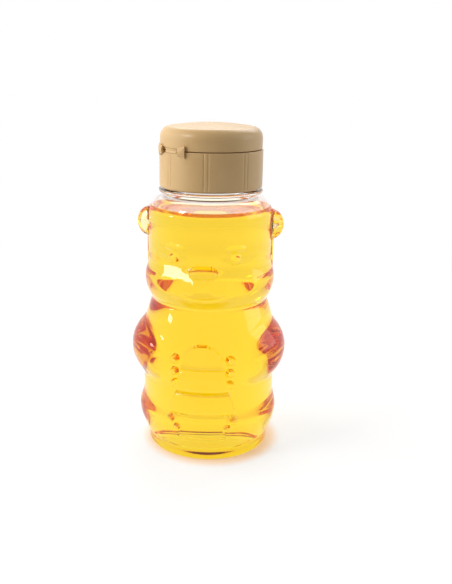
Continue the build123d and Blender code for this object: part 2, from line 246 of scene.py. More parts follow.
def shellPlastic():
    # clear blown plastic: glass-clear, with the slow waves and faint orange peel of a blown wall
    look = shellPlasticLook
    material, tree, shader = newMaterial("shellPlastic")
    makeClear(shader, look)
    wave = bump(tree, noise(tree, *look["wave"]), *look["waveBump"])
    peel = bump(tree, noise(tree, *look["peel"]), *look["peelBump"], wave)
    tree.links.new(peel, shader.inputs["Normal"])
    return material


honeyLook = {"density": 90.0, "passed": (0.987, 0.897, 0.0), "refraction": 1.0, "roughness": 0.0}


def honeyBody():
    # light is taken by exp(-density (1 - passed) depth) in each colour, behind a skin that
    # neither bends nor mirrors it, because the shell's skin does that
    look = honeyLook
    material, tree, shader = newMaterial("honeyBody")
    makeClear(shader, look)
    volume = tree.nodes.new("ShaderNodeVolumeAbsorption")
    volume.inputs["Color"].default_value = (*look["passed"], 1)
    volume.inputs["Density"].default_value = look["density"]
    tree.links.new(volume.outputs["Volume"], tree.nodes["Material Output"].inputs["Volume"])
    return material


foamLook = {
    "cells": (2600, 2), "cellBump": (0.3, 0.05),
    "stops": (0.2, 0.8), "greys": (0.74, 0.9), "roughness": 0.8,
}


def foam():
    # closed-cell foam: off-white and matt, with fine cells
    look = foamLook
    material, tree, shader = newMaterial("foam")
    cells = noise(tree, *look["cells"])
    grey = ramp(tree, cells, look["stops"], look["greys"])
    tree.links.new(grey, shader.inputs["Base Color"])
    tree.links.new(bump(tree, cells, *look["cellBump"]), shader.inputs["Normal"])
    shader.inputs["Roughness"].default_value = look["roughness"]
    return material


capMaterial = capPlastic()
shellMaterial = shellPlastic()
print("materials made")

# the bear's round body, shared by the shell and the honey, with how far its corners are softened
bearCore = {
    "baseRecess": 1.8, "baseRecessRadius": 20.5, "baseRingRadius": 25.2,
    "baseCornerRadius": 1.0, "baseRingTop": 4.4,
    "legBandBottomRadius": 25.9, "legBandBottom": 5.6, "legBandRadius": 27.9,
    "legBandHeight": 17.6, "legBandTop": 23.0,
    "waistRadius": 27.4, "waistTop": 30.2,
    "chestRadius": 28.0, "chestHeight": 42.0,
    "creaseRadius": 23.5, "creaseHeight": 63.2,
    "cheekRadius": 26.35, "cheekHeight": 70.8,
    "templeRadius": 24.95, "templeHeight": 77.8,
    "crownRadius": 24.7, "crownCornerRadius": 7.0, "crownTop": 104.9,
    "wall": 0.55, "softness": 0.8, "softSteps": 5, "templeSoftness": 1.0, "templeSpread": 5.0,
}

# each form: turn from the front, reach from the axis, height, half sizes outwards, sideways
# and upwards, how far it blends into what it stands on, and whether it has a mirror image
bearForms = {
    "ear": (88.0, 24.2, 93.5, (5.3, 4.4, 6.2), 1.6, True),
    "shoulder": (78.0, 11.95, 42.5, (20.2, 22.0, 17.0), 1.6, True),
    "back": (180.0, 9.35, 41.0, (20.6, 22.0, 19.0), 2.5, False),
    "headBack": (180.0, 4.0, 80.0, (21.7, 24.6, 22.0), 1.5, False),
    "paw": (47.0, 16.0, 38.8, (13.9, 13.2, 11.2), 1.2, True),
    "muzzle": (0.0, 17.6, 72.6, (11.0, 12.5, 8.6), 5.0, False),
}
bearFace = {
    "nose": (0.0, 26.4, 78.6, (2.8, 5.6, 2.4), 0.9, False),
    "brow": (28.5, 24.6, 87.4, (1.1, 4.2, 1.3), 0.4, True),
    "eye": (28.5, 24.4, 83.2, (2.1, 2.1, 2.1), 0.2, True),
    "clawLow": (22.6, 28.9, 34.0, (1.5, 1.5, 1.5), 0.15, True),
    "clawMiddle": (22.6, 29.0, 39.0, (1.6, 1.6, 1.6), 0.15, True),
    "clawHigh": (22.6, 29.0, 44.0, (1.8, 1.8, 1.8), 0.15, True),
    "toeInner": (21.4, 27.8, 14.8, (1.4, 1.4, 1.4), 0.2, True),
    "toeOuter": (26.8, 28.0, 18.0, (1.5, 1.5, 1.5), 0.2, True),
}


def arcRadius(heights, first, second, third):
    # the radius at each height on the circle through three points (r, z), bulging outwards
    (r1, z1), (r2, z2), (r3, z3) = first, second, third
    area = 2 * (r1 * (z2 - z3) + r2 * (z3 - z1) + r3 * (z1 - z2))
    squares = r1 * r1 + z1 * z1, r2 * r2 + z2 * z2, r3 * r3 + z3 * z3
    centreR = (squares[0] * (z2 - z3) + squares[1] * (z3 - z1) + squares[2] * (z1 - z2)) / area
    centreZ = (squares[0] * (r3 - r2) + squares[1] * (r1 - r3) + squares[2] * (r2 - r1)) / area
    size = (r1 - centreR) ** 2 + (z1 - centreZ) ** 2
    return centreR + np.sqrt(np.maximum(size - (heights - centreZ) ** 2, 0))


def baseCorner():
    # the centre (r, z) of the base ring's rounded edge
    corner = bearCore["baseCornerRadius"]
    return bearCore["baseRingRadius"] - corner, corner


def crownCorner():
    # the centre (r, z) of the crown's rounded corner
    corner = bearCore["crownCornerRadius"]
    return bearCore["crownRadius"] - corner, bearCore["crownTop"] - corner


def dishRows(radii, lift):
    # rows (r, z) of the hollow under the base: z = lift + recess (1 - (r / outer)^2)
    recess, outer = bearCore["baseRecess"], bearCore["baseRecessRadius"]
    return np.stack((radii, lift + recess * (1 - (radii / outer) ** 2)), axis=1)


def sharpCoreRadius(heights):
    # the round body: straight runs and arcs from the base ring to the crown's corner
    core = bearCore
    waistStart = core["waistRadius"], core["legBandTop"]
    chestStart = core["waistRadius"], core["waistTop"]
    crease = core["creaseRadius"], core["creaseHeight"]
    temple = core["templeRadius"], core["templeHeight"]
    corners = (
        (core["baseRingRadius"], core["baseRingTop"]),
        (core["legBandBottomRadius"], core["legBandBottom"]),
        (core["legBandRadius"], core["legBandHeight"]),
        waistStart, chestStart, temple,
        (core["crownRadius"], crownCorner()[1]),
    )
    radii, levels = zip(*corners)
    straight = np.interp(heights, levels, radii)
    chest = arcRadius(heights, chestStart, (core["chestRadius"], core["chestHeight"]), crease)
    cheeks = arcRadius(heights, crease, (core["cheekRadius"], core["cheekHeight"]), temple)
    return np.select(
        [heights < chestStart[1], heights < crease[1], heights < temple[1]],
        [straight, chest, cheeks],
        straight,
    )


def coreRadius(heights):
    # the same as blown plastic takes it: the mean over a spread of heights, wider at the temples
    core = bearCore
    temple = np.exp(-(((heights - core["templeHeight"]) / core["templeSpread"]) ** 2))
    spread = core["softness"] + core["templeSoftness"] * temple
    spread = np.minimum(spread, np.abs(heights - core["legBandBottom"]))
    steps = np.linspace(-1, 1, core["softSteps"])
    return sum(sharpCoreRadius(heights + spread * step) for step in steps) / len(steps)


def formRadius(turns, heights, centre, halfSizes, inset):
    # where a ray out from the axis leaves an ellipsoid: the larger root rho of
    # ((rho cos d - reach) / out)^2 + (rho sin d / wide)^2 + ((z - height) / up)^2 = 1, with d
    # the turn from the form's own, and 0 where the ray misses it
    turn, reach, height = centre
    out, wide, up = (half - inset for half in halfSizes)
    away = np.radians(turns - turn)
    a = (np.cos(away) / out) ** 2 + (np.sin(away) / wide) ** 2
    b = reach * np.cos(away) / out**2
    c = (reach / out) ** 2 + ((heights - height) / up) ** 2 - 1
    root = b * b - a * c
    radius = (b + np.sqrt(np.maximum(root, 0))) / a
    return np.where((root > 0) & (b > 0), radius, 0)


def addForms(radius, turns, heights, forms, inset):
    # each form in turn is joined on by the soft maximum of radii
    for turn, reach, height, halfSizes, blend, mirrored in forms.values():
        for hand in (1, -1) if mirrored else (1,):
            form = formRadius(turns, heights, (hand * turn, reach, height), halfSizes, inset)
            radius = softMax(radius, form, blend)
    return radius


# the turn where the thighs are fullest, how full, over what turn, and the heights between
thighs = {
    "turn": 72.0, "rise": 1.7, "halfTurn": 24.0, "bottom": 4.4, "top": 23.5, "power": 1.5,
}


def thighRise(turns, heights):
    # rise exp(-((|turn| - middle) / halfTurn)^2) sin(pi s)^power, with s the share of the height
    share = np.clip((heights - thighs["bottom"]) / (thighs["top"] - thighs["bottom"]), 0, 1)
    spread = np.exp(-(((np.abs(turns) - thighs["turn"]) / thighs["halfTurn"]) ** 2))
    return thighs["rise"] * spread * np.sin(math.pi * share) ** thighs["power"]


# the straw hive on the belly: where its coils meet, its outline's half widths at heights, its
# arch and corners, and the grooves between its coils and under its foot
strawHive = {
    "coils": (20.6, 30.2, 39.5, 53.0), "radius": 28.3, "bulge": 1.0, "bulgePower": 3,
    "halfWidths": ((20.6, 13.6), (30.2, 11.0), (42.0, 8.4)),
    "archTop": 50.4, "cornerRadius": 3.0, "edge": 0.3,
    "grooveDepth": 0.7, "grooveWidth": 0.42, "footDepth": 0.55, "footFade": 1.0,
}
hiveStep = {"halfWidth": 10.0, "bottom": 9.9, "radius": 28.45, "lean": 0.14, "edge": 0.5}


def hiveCoverage(turns, heights):
    # 1 inside the hive's arched outline and 0 outside it, by the distance to the nearest edge,
    # rounded at the two lower corners
    hive = strawHive
    across = np.abs(hive["radius"] * np.sin(np.radians(turns)))
    levels, widths = zip(*hive["halfWidths"])
    archRise = np.clip((heights - levels[-1]) / (hive["archTop"] - levels[-1]), 0, 1)
    arch, sides = widths[-1] * np.sqrt(1 - archRise**2), np.interp(heights, levels, widths)
    halfWidth = np.where(heights < levels[-1], sides, arch)
    corner = hive["cornerRadius"]
    fromSide = np.minimum(halfWidth - across, corner)
    fromBottom = np.minimum(heights - levels[0], corner)
    inside = corner - np.hypot(corner - fromSide, corner - fromBottom)
    return smoothStep(0, hive["edge"], inside) * facesFront(turns)


def hiveRadius(heights):
    # coils one above the other, each out by bulge (1 - |u|^power), with u from -1 to 1 over the
    # coil, less groove exp(-(distance to where two coils meet / width)^2)
    hive = strawHive
    coils = np.array(hive["coils"])
    number = np.clip(np.searchsorted(coils, heights) - 1, 0, len(coils) - 2)
    middle = (coils[number] + coils[number + 1]) / 2
    half = (coils[number + 1] - coils[number]) / 2
    share = np.abs(np.clip((heights - middle) / half, -1, 1))
    rise = hive["bulge"] * (1 - share ** hive["bulgePower"])
    toGroove = np.min(np.abs(heights[..., None] - coils[1:-1]), axis=-1)
    groove = np.exp(-((toGroove / hive["grooveWidth"]) ** 2))
    return hive["radius"] + rise - hive["grooveDepth"] * groove


def addHive(radius, turns, heights, inset):
    # the leaning step under the hive and then its coils lift the radius to their own inside
    # their outlines, and a groove along its foot lowers it
    hive, step = strawHive, hiveStep
    foot = hive["coils"][0]
    across = np.abs(step["radius"] * np.sin(np.radians(turns)))
    onStep = (
        smoothStep(0, step["edge"], step["halfWidth"] - across)
        * smoothStep(0, step["edge"], heights - step["bottom"])
        * smoothStep(0, step["edge"], foot + step["edge"] - heights)
        * facesFront(turns)
    )
    stepRadius = step["radius"] - step["lean"] * np.maximum(foot - heights, 0)
    radius = radius + onStep * np.maximum(stepRadius - inset - radius, 0)
    onHive = hiveCoverage(turns, heights)
    radius = radius + onHive * np.maximum(hiveRadius(heights) - inset - radius, 0)
    groove = np.exp(-(((heights - foot) / hive["grooveWidth"]) ** 2))
    onFoot = smoothStep(0, hive["footFade"], hive["halfWidths"][0][1] - across)
    return radius - hive["footDepth"] * groove * onFoot * facesFront(turns)


# a flat on each cheek: the turn and slope it faces, its reach from the axis at a height, how
# soft its edges are, where it ends above, and the least cosine of the turn at which it cuts
cheekFlat = {
    "turn": 33.0, "slope": 13.0, "reach": 24.5, "height": 78.3,
    "edge": 0.5, "fadeStart": 80.0, "fadeEnd": 84.5, "leastFacing": 0.3,
}


def cutCheeks(radius, turns, heights, inset):
    # the radius stays under the plane's, (reach - tan(slope) rise) / cos(turn from the plane),
    # by the soft minimum of the two
    flat = cheekFlat
    rise = heights - flat["height"]
    reach = flat["reach"] - inset - math.tan(math.radians(flat["slope"])) * rise
    below = smoothStep(0, flat["fadeEnd"] - flat["fadeStart"], flat["fadeEnd"] - heights)
    for hand in (1, -1):
        facing = np.cos(np.radians(turns - hand * flat["turn"]))
        plane = reach / np.maximum(facing, flat["leastFacing"])
        cut = radius + softMax(-radius, -plane, flat["edge"])
        radius = radius - below * (facing > flat["leastFacing"]) * cut
    return radius


earWeb = {
    "radius": 25.65, "halfThickness": 0.55, "bottom": 75.5, "top": 89.0, "edge": 0.3,
    "fade": 1.5,
}
mouth = {
    "height": 68.6, "rise": 1.5, "halfTurn": 21.0, "depth": 0.55, "width": 0.55, "fade": 4.0,
}


def addFace(radius, turns, heights):
    # the small features, then a thin web under each ear in the plane of both, and the mouth:
    # a groove depth exp(-((z - lips) / width)^2) along lips = height + rise (turn / halfTurn)^2
    radius = addForms(radius, turns, heights, bearFace, 0)
    web = earWeb
    sideways = np.abs(radius * np.cos(np.radians(turns)))
    onWeb = (
        smoothStep(0, web["edge"], web["halfThickness"] + web["edge"] / 2 - sideways)
        * smoothStep(0, web["fade"], heights - web["bottom"])
        * smoothStep(0, web["fade"], web["top"] - heights)
    )
    radius = radius + onWeb * np.maximum(web["radius"] - radius, 0)
    lips = mouth["height"] + mouth["rise"] * (turns / mouth["halfTurn"]) ** 2
    onMouth = smoothStep(0, mouth["fade"], mouth["halfTurn"] - np.abs(turns))
    groove = np.exp(-(((heights - lips) / mouth["width"]) ** 2))
    return radius - mouth["depth"] * onMouth * groove


def bearRadius(turns, heights, profileRadius, inset, fine):
    # the body's radius at every turn and height: the round core, the forms joined to it, the
    # hive and the cheeks, and with fine set the small features
    radius = profileRadius - inset + thighRise(turns, heights)
    radius = addForms(radius, turns, heights, bearForms, inset)
    radius = addHive(radius, turns, heights, inset)
    radius = cutCheeks(radius, turns, heights, inset)
    return addFace(radius, turns, heights) if fine else radius


neckSizes = {
    "radius": 18.3, "bore": 15.9,
    "beadRadius": 20.7, "beadBottom": 106.1, "beadTop": 107.3, "beadEdge": 0.45,
    "finishRadius": 17.55, "mouth": 118.2, "mouthEdge": 0.4,
    "threadPitch": 4.233, "threadTurns": 1.1, "threadStartTurn": 0.1, "threadRise": 2.3,
    "threadHeight": 1.15, "threadRoot": 2.1, "threadCrest": 0.9, "threadRunOut": 0.02,
}


def threadShare(turns, heights, start, startTurn, turnCount):
    # a ridge wound round Z: a trapezoid across its helix, from root to crest wide, 1 at its
    # crest, running out at both ends
    neck = neckSizes
    root, crest, runOut = neck["threadRoot"], neck["threadCrest"], neck["threadRunOut"]
    wound = np.zeros(np.broadcast(turns, heights).shape)
    way = (turns / 360 + 0.25 - startTurn) % 1  # turns are counted from -Y, the thread's from +X
    for coil in range(int(turnCount) + 1):
        along = way + coil
        middle = start + (startTurn + along) * neck["threadPitch"]
        across = np.abs(heights - middle)
        ridge = np.clip((root / 2 - across) / ((root - crest) / 2), 0, 1)
        ends = np.clip(along / runOut, 0, 1) * np.clip((turnCount - along) / runOut, 0, 1)
        wound = np.maximum(wound, ridge * ends)
    return wound


# the shell's columns crowd at spots of (turn, width, gain), and the rest are counts of rows
shellGrid = {
    "columns": 300, "rowStep": 0.45, "sharp": 55,
    "spots": ((0, 45, 1.4), (90, 3, 3.5), (-90, 3, 3.5), (85, 14, 1.0), (-85, 14, 1.0)),
    "dish": 7, "ring": 2, "heel": 7, "crown": 13, "throat": (3, 2), "bead": 4,
    "finish": 26, "lip": 4, "bore": (6, 2), "innerCrown": 8,
}
honeySurface = {"level": 97.9, "climb": 2.9, "climbWidth": 2.1, "rows": 22, "crowding": 0.6}


def shellOuterRows():
    # rows (r, z) of the outside from the base's middle to the mouth, and which of them are the
    # bear and which the threaded finish
    core, neck, grid = bearCore, neckSizes, shellGrid
    heelCentre, crownCentre = baseCorner(), crownCorner()
    dish = np.linspace(0, core["baseRecessRadius"], grid["dish"] + 2)[1:-1]
    base = np.vstack((
        dishRows(dish, 0),
        lineRows(((core["baseRecessRadius"], 0), (heelCentre[0], 0)), (grid["ring"],)),
        arcRows(heelCentre, core["baseCornerRadius"], -90, 0, grid["heel"]),
    ))
    low = core["baseCornerRadius"] + grid["rowStep"]
    heights = np.arange(low, crownCentre[1], grid["rowStep"])
    heights = np.sort(np.append(heights, core["creaseHeight"]))
    side = np.stack((coreRadius(heights), heights), axis=1)
    crown = arcRows(crownCentre, core["crownCornerRadius"], 0, 90, grid["crown"])
    edge = neck["beadEdge"]
    beadR = neck["beadRadius"] - edge
    neckR = neck["radius"]
    under = (neckR, core["crownTop"]), (neckR, neck["beadBottom"]), (beadR, neck["beadBottom"])
    throat = np.vstack((
        lineRows(under, grid["throat"]),
        arcRows((beadR, neck["beadBottom"] + edge), edge, -90, 0, grid["bead"]),
        arcRows((beadR, neck["beadTop"] - edge), edge, 0, 90, grid["bead"]),
    ))
    finishR, lipEdge = neck["finishRadius"], neck["mouthEdge"]
    lipBottom = neck["mouth"] - lipEdge
    finish = lineRows(((finishR, neck["beadTop"]), (finishR, lipBottom)), (grid["finish"],))
    lip = arcRows((finishR - lipEdge, lipBottom), lipEdge, 0, 90, grid["lip"])
    rows = np.vstack((base, side, crown, throat, finish, lip))
    onBear = slice(len(base), len(base) + len(side) + len(crown))
    onFinish = slice(-len(lip) - len(finish), -len(lip))
    return rows, onBear, onFinish


def wettedAngle(inset):
    # how far up the crown's corner the honey's edge lies
    corner = bearCore["crownCornerRadius"]
    above = honeySurface["level"] + honeySurface["climb"] - bearCore["crownTop"] + corner
    return math.degrees(math.asin(above / (corner - inset)))


def honeyTop(rim, drop):
    # rows from the wall to the middle, where the surface climbs the wall by
    # climb exp(-(distance to the wall) / climbWidth)
    surface = honeySurface
    shares = np.linspace(1, 0, surface["rows"] + 1)[1:-1, None] ** surface["crowding"]
    radii = rim * shares
    climb = surface["climb"] * np.exp(-(rim - radii) / surface["climbWidth"])
    return radii, surface["level"] + climb - drop


def shellInnerRows(inset):
    # rows (r, z) of the inside, from the mouth down to the honey's edge
    core, neck, grid = bearCore, neckSizes, shellGrid
    ceiling, crownCentre = core["crownTop"] - inset, crownCorner()
    bore = (neck["bore"], neck["mouth"]), (neck["bore"], ceiling), (crownCentre[0], ceiling)
    corner = core["crownCornerRadius"] - inset
    crown = arcRows(crownCentre, corner, 90, wettedAngle(inset), grid["innerCrown"])
    return np.vstack((lineRows(bore, grid["bore"]), crown))


def makeShell():
    # one closed skin: up the outside, over the mouth, down the inside to the honey and across
    # the honey's surface, since wall and honey bend light alike and show no face between them
    neck, grid = neckSizes, shellGrid
    turns = angularSamples(grid["columns"], grid["spots"])
    outer, onBear, onFinish = shellOuterRows()
    radii, heights = carriedRound(outer, turns)
    radii[onBear] = bearRadius(turns, heights[onBear], radii[onBear], 0, True)
    radii[onFinish] += neck["threadHeight"] * threadShare(
        turns, heights[onFinish], neck["beadTop"] + neck["threadRise"],
        neck["threadStartTurn"], neck["threadTurns"],
    )
    innerRadii, innerHeights = carriedRound(shellInnerRows(bearCore["wall"]), turns)
    topRadii, topHeights = honeyTop(innerRadii[-1], 0)
    radii = np.vstack((radii, innerRadii, topRadii))
    points = turnedPoints(turns, radii, np.vstack((heights, innerHeights, topHeights)))
    poles = (0, 0, bearCore["baseRecess"]), (0, 0, honeySurface["level"])
    shell = gridMesh("bearShell", points, shellMaterial, grid["sharp"], poles)
    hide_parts("bottle")
    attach(shell, "bottle")
    print("shell made")


honeyGrid = {
    "columns": 180, "rowStep": 1.2, "gap": 0.1, "sharp": 40,
    "spots": ((0, 45, 1.0), (85, 12, 1.5), (-85, 12, 1.5)),
    "dish": 5, "heel": 5, "crown": 6, "crownDropAngle": 0.8,
}


def makeHoney():
    # the same form, inside the shell by the wall and a hair more
    grid, core = honeyGrid, bearCore
    inset = core["wall"] + grid["gap"]
    crownCentre = crownCorner()
    turns = angularSamples(grid["columns"], grid["spots"])
    dish = dishRows(np.linspace(0, core["baseRecessRadius"], grid["dish"] + 1)[1:], inset)
    heel = arcRows(baseCorner(), core["baseCornerRadius"] - inset, -90, 0, grid["heel"])
    low = core["baseCornerRadius"] + grid["rowStep"] / 2
    levels = np.arange(low, crownCentre[1], grid["rowStep"])
    side = np.stack((coreRadius(levels), levels), axis=1)
    crown = arcRows(
        crownCentre, core["crownCornerRadius"] - inset, 0,
        wettedAngle(inset) - grid["crownDropAngle"], grid["crown"],
    )
    radii, heights = carriedRound(np.vstack((dish, heel, side, crown)), turns)
    onSide = slice(len(dish) + len(heel), -len(crown))
    radii[onSide] = bearRadius(turns, heights[onSide], radii[onSide], inset, False)
    topRadii, topHeights = honeyTop(radii[-1], grid["gap"])
    points = turnedPoints(turns, np.vstack((radii, topRadii)), np.vstack((heights, topHeights)))
    poles = (0, 0, core["baseRecess"] + inset), (0, 0, honeySurface["level"] - grid["gap"])
    honey = gridMesh("honeyFill", points, honeyBody(), grid["sharp"], poles)
    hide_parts("honey")
    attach(honey, "bottle")
    print("honey made")


makeShell()
makeHoney()

# the screw cap's base, whose last four entries are counts of rows along its profile
capSizes = {
    "bottom": 107.8, "seam": 122.7, "radius": 20.4, "bore": 18.95, "edge": 0.3, "hem": 0.9,
    "deckBottom": 119.2, "deckTop": 120.7,
    "collarRadius": 18.2, "collarWall": 1.1, "collarTop": 124.4,
    "spoutRadius": 5.6, "spoutTopRadius": 4.6, "spoutTop": 123.9, "orifice": 3.175,
    "threadHeight": 0.95, "threadTurns": 1.0, "threadStartTurn": 0.42, "threadRise": 0.18,
    "grooveDepth": 0.16, "grooveHalfWidth": 0.33, "grooveHalfTurn": 2.3, "groovePairs": 8,
    "grooveStart": 0.3, "columns": 480, "sharp": 35,
    "hemRows": (3, 8), "skirtRows": (12, 5), "topRows": (3, 2, 3, 2, 3, 6, 4, 2, 4, 6),
    "boreRows": 40,
}
hingeSizes = {
    "turn": -45.0, "height": 122.85,
    "pocketHalfTurn": 12.6, "pocketRadius": 19.6, "pocketHalfHeight": 0.95,
    "pocketStep": 0.01, "pocketCornerTurn": 0.03, "pocketClearTurn": 0.3,
    "webHalfTurn": 9.3, "webInner": 19.68, "webThickness": 0.55, "webHalfHeight": 0.87,
    "webWaist": 0.3, "webWaistWidth": 0.35,
    "strapTurns": (12.9, 22.0), "strapHalfHeights": (1.4, 2.35), "strapFlare": 1.4,
    "strapInner": 20.46, "strapThickness": 0.75, "strapTaper": 0.35, "strapTaperPower": 4,
    "strapBow": 0.25, "strapBowFade": 0.4,
    "axisOut": 0.35, "gridLines": 13, "sharp": 40,
}


def hingePocket(turns, radii, heights):
    # the radius drops to the pocket's own inside its turn and height
    hinge = hingeSizes
    inside = (np.abs(turns - hinge["turn"]) < hinge["pocketHalfTurn"]) & (
        np.abs(heights - hinge["height"]) < hinge["pocketHalfHeight"]
    ) & (radii > hinge["pocketRadius"])
    return np.where(inside, hinge["pocketRadius"], radii)


def pocketEdge(radius, height):
    # two rows close together, for a square edge of the hinge's pocket
    step = hingeSizes["pocketStep"]
    return (radius, height - step), (radius, height + step)


def grooveDip(turns):
    # pairs of fine grooves, each a parabola 1 - (x / halfWidth)^2 across its own line
    cap = capSizes
    spacing = 360 / cap["groovePairs"]
    away = (turns - hingeSizes["turn"] + spacing / 2) % spacing - spacing / 2
    across = np.radians(np.abs(np.abs(away) - cap["grooveHalfTurn"])) * cap["radius"]
    return np.clip(1 - (across / cap["grooveHalfWidth"]) ** 2, 0, 1)


def columnsWithPocket(count):
    # even turns, with two close columns at each end of the hinge's pocket for a square corner
    hinge = hingeSizes
    ends = hinge["turn"] + np.array((-1, 1)) * hinge["pocketHalfTurn"]
    turns = np.linspace(-180, 180, count, endpoint=False)
    keep = np.min(np.abs(turns[:, None] - ends), axis=1) > hinge["pocketClearTurn"]
    corner = hinge["pocketCornerTurn"]
    corners = (ends[:, None] + (-corner, corner)).ravel()
    return np.sort(np.concatenate((turns[keep], corners)))


def makeCapBase():
    # a closed profile carried round Z: skirt, seam, tray, collar, deck, spout and threaded bore
    cap, hinge, neck = capSizes, hingeSizes, neckSizes
    radius, boreR, orifice = cap["radius"], cap["bore"], cap["orifice"]
    low, seam, spoutTop = cap["bottom"], cap["seam"], cap["spoutTop"]
    deckTop, deckBottom = cap["deckTop"], cap["deckBottom"]
    collarR, collarTop = cap["collarRadius"], cap["collarTop"]
    collarInner = collarR - cap["collarWall"]
    edge, hem = cap["edge"], cap["hem"]
    pocketBottom = hinge["height"] - hinge["pocketHalfHeight"]
    skirtStart = low + hem + cap["grooveStart"]
    bottom = np.vstack((
        lineRows(((boreR, low), (radius - hem, low)), cap["hemRows"][:1]),
        arcRows((radius - hem, low + hem), hem, -90, 0, cap["hemRows"][-1]),
    ))
    skirt = np.vstack((
        lineRows(((radius, skirtStart), (radius, pocketBottom)), cap["skirtRows"][:1]),
        pocketEdge(radius, pocketBottom),
        arcRows((radius - edge, seam - edge), edge, 0, 90, cap["skirtRows"][-1]),
    ))
    top = lineRows(
        ((boreR, seam), (boreR, deckTop), (collarR, deckTop), (collarR, collarTop),
         (collarInner, collarTop), (collarInner, deckTop), (cap["spoutRadius"], deckTop),
         (cap["spoutTopRadius"], spoutTop), (orifice, spoutTop), (orifice, deckBottom),
         (boreR, deckBottom)),
        cap["topRows"],
    )
    bore = lineRows(((boreR, deckBottom), (boreR, low)), (cap["boreRows"],))
    turns = columnsWithPocket(cap["columns"])
    radii, heights = carriedRound(np.vstack((bottom, skirt, top, bore)), turns)
    outside = len(bottom) + len(skirt)
    radii[len(bottom) - 1:outside - 1] -= cap["grooveDepth"] * grooveDip(turns)
    radii[:outside] = hingePocket(turns, radii[:outside], heights[:outside])
    threadStart = neck["beadTop"] + neck["threadRise"] - neck["threadPitch"] / 2
    radii[-len(bore):] -= cap["threadHeight"] * threadShare(
        turns, heights[-len(bore):], threadStart, cap["threadStartTurn"], cap["threadTurns"],
    )
    points = turnedPoints(turns, radii, heights)
    base = gridMesh("capBase", points, capMaterial, cap["sharp"], closeRows=True)
    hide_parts("cap_base")
    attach(base, "cap")
    print("cap base made")


# the lid, whose last six entries are counts of rows along its profile
lidSizes = {
    "bottom": 123.0, "radius": 20.1, "top": 132.7, "edge": 0.25, "wall": 1.5,
    "shoulderRadius": 4.2, "domeRise": 1.3, "cornerGap": 0.3,
    "plugRadius": 3.105, "plugWall": 0.9, "plugBottom": 122.5, "plugTip": 0.3, "plugPole": 0.4,
    "lipHalfTurn": 16.0, "lipReach": 1.3, "lipThickness": 1.4, "lipEdge": 0.25,
    "lipFade": 2.0, "lipUnder": 0.05, "pocketGap": 0.1, "lipGap": 0.2,
    "columns": 480, "sharp": 35,
    "plugRows": (2, 5, 2), "plugTipRows": 4, "ceilingRows": (5, 6), "hollowRows": (7, 4, 3),
    "rimRows": (5, 6, 8), "topRows": (15, 14),
}


def domeRows(baseRadius, bottom, rise, count):
    # rows (r, z) of a shallow dome: z = bottom + rise (1 - (r / base)^2), out to in
    radii = baseRadius * np.linspace(1, 0, count, endpoint=False)
    return np.stack((radii, bottom + rise * (1 - (radii / baseRadius) ** 2)), axis=1)


def lidLip(turns, heights, lipTop):
    # 1 on the thumb lip opposite the hinge, rounded off at its ends, its underside and its top
    lid = lidSizes
    behind = np.abs((turns - hingeSizes["turn"] + 360) % 360 - 180)
    return (
        smoothStep(0, lid["lipFade"], lid["lipHalfTurn"] - behind)
        * smoothStep(0, lid["lipEdge"], heights - lid["bottom"] + lid["lipUnder"])
        * smoothStep(0, lid["lipEdge"], lipTop - heights)
    )


def makeLid():
    # a profile from the plug inside the lid, out over the rim and up the outside to the top
    lid, hinge = lidSizes, hingeSizes
    radius, bottom, edge = lid["radius"], lid["bottom"], lid["edge"]
    ceiling = lid["top"] - lid["domeRise"] - lid["wall"]
    innerR, innerCorner = radius - lid["wall"], lid["shoulderRadius"] - lid["wall"]
    plugR, plugBottom, tip = lid["plugRadius"], lid["plugBottom"], lid["plugTip"]
    plugInner = plugR - lid["plugWall"]
    plug = np.vstack((
        lineRows(
            ((plugInner * lid["plugPole"], ceiling), (plugInner, ceiling),
             (plugInner, plugBottom), (plugR - tip, plugBottom)), lid["plugRows"],
        ),
        arcRows((plugR - tip, plugBottom + tip), tip, -90, 0, lid["plugTipRows"]),
        lineRows(
            ((plugR, plugBottom + 2 * tip), (plugR, ceiling), (innerR - innerCorner, ceiling)),
            lid["ceilingRows"],
        ),
    ))
    cornerCentre = innerR - innerCorner, ceiling - innerCorner
    hollow = np.vstack((
        arcRows(cornerCentre, innerCorner, 90, 0, lid["hollowRows"][0]),
        lineRows(
            ((innerR, cornerCentre[1] - lid["cornerGap"]), (innerR, bottom),
             (radius - edge, bottom)), lid["hollowRows"][1:],
        ),
    ))
    pocketTop = hinge["height"] + hinge["pocketHalfHeight"]
    lipTop = bottom + lid["lipThickness"]
    lipEnd = radius, lipTop + lid["lipGap"]
    shoulderCentre = (
        radius - lid["shoulderRadius"], lid["top"] - lid["domeRise"] - lid["shoulderRadius"]
    )
    rim = np.vstack((
        arcRows((radius - edge, bottom + edge), edge, -90, 0, lid["rimRows"][0]),
        pocketEdge(radius, pocketTop),
        lineRows(
            ((radius, pocketTop + lid["pocketGap"]), lipEnd, (radius, shoulderCentre[1])),
            lid["rimRows"][1:],
        ),
    ))
    shoulderCount, domeCount = lid["topRows"]
    dome = np.vstack((
        arcRows(shoulderCentre, lid["shoulderRadius"], 0, 90, shoulderCount)[:-1],
        domeRows(shoulderCentre[0], lid["top"] - lid["domeRise"], lid["domeRise"], domeCount),
    ))
    turns = columnsWithPocket(lid["columns"])
    radii, heights = carriedRound(np.vstack((plug, hollow, rim, dome)), turns)
    onRim = slice(len(plug) + len(hollow) - 1, len(plug) + len(hollow) + len(rim))
    radii[onRim] = hingePocket(turns, radii[onRim], heights[onRim])
    radii[onRim] += lid["lipReach"] * lidLip(turns, heights[onRim], lipTop)
    points = turnedPoints(turns, radii, heights)
    poles = (0, 0, ceiling), (0, 0, lid["top"])
    cover = gridMesh("flipLid", points, capMaterial, lid["sharp"], poles)
    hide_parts("flip_lid")
    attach(cover, "lid")
    print("lid made")


